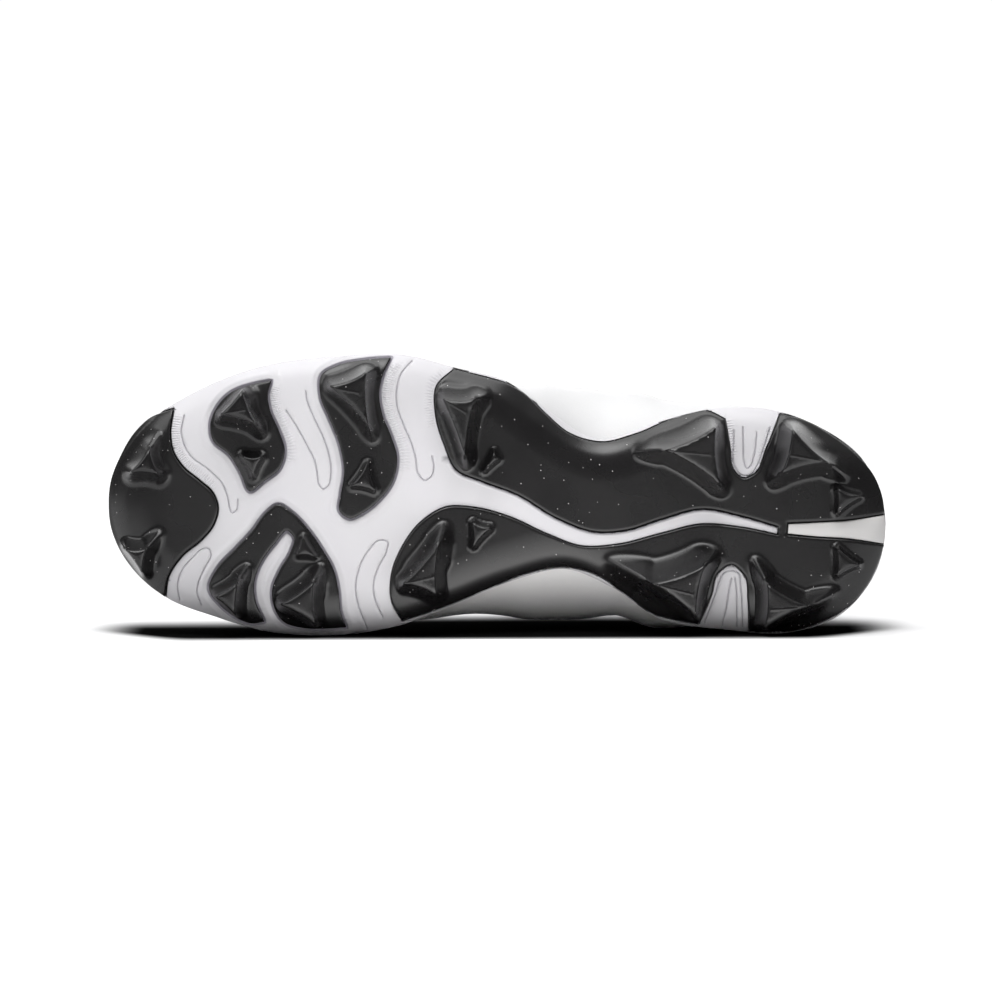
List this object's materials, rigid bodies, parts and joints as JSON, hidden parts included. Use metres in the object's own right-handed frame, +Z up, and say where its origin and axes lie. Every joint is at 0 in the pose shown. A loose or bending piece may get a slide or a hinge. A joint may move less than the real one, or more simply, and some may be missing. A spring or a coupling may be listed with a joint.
{
  "type": "softball cleat",
  "caption": "Low-cut softball cleat lying on its side: hollow white upper with tongue and lace, white moulded base and glossy black tread plates with triangular studs.",
  "frame": {"origin": "centre of the bounding box's bottom, on the floor that the shoe lies on", "axes": "+X from the toe to the heel, -Y the way the sole faces, +Z up from the shoe's inner side to its outer side"},
  "size_m": [0.2712, 0.1122, 0.0979],
  "materials": {
    "upper": "smooth white synthetic leather",
    "tongue": "padded white mesh",
    "lace": "woven white",
    "insole": "brushed grey textile",
    "outsole_base": "satin white moulded",
    "tread_plate": "glossy black moulded",
    "heel_insert": "satin pale grey moulded"
  },
  "bodies": {
    "root": {"upper": "upper", "tongue": "tongue", "lace": "lace", "insole": "insole", "outsole_base": "outsole_base", "plate_toe": "tread_plate", "plate_fore_outer_front": "tread_plate", "plate_fore_outer_rear": "tread_plate", "plate_fore_inner": "tread_plate", "plate_rear": "tread_plate", "heel_insert": "heel_insert"}
  },
  "joints": []
}
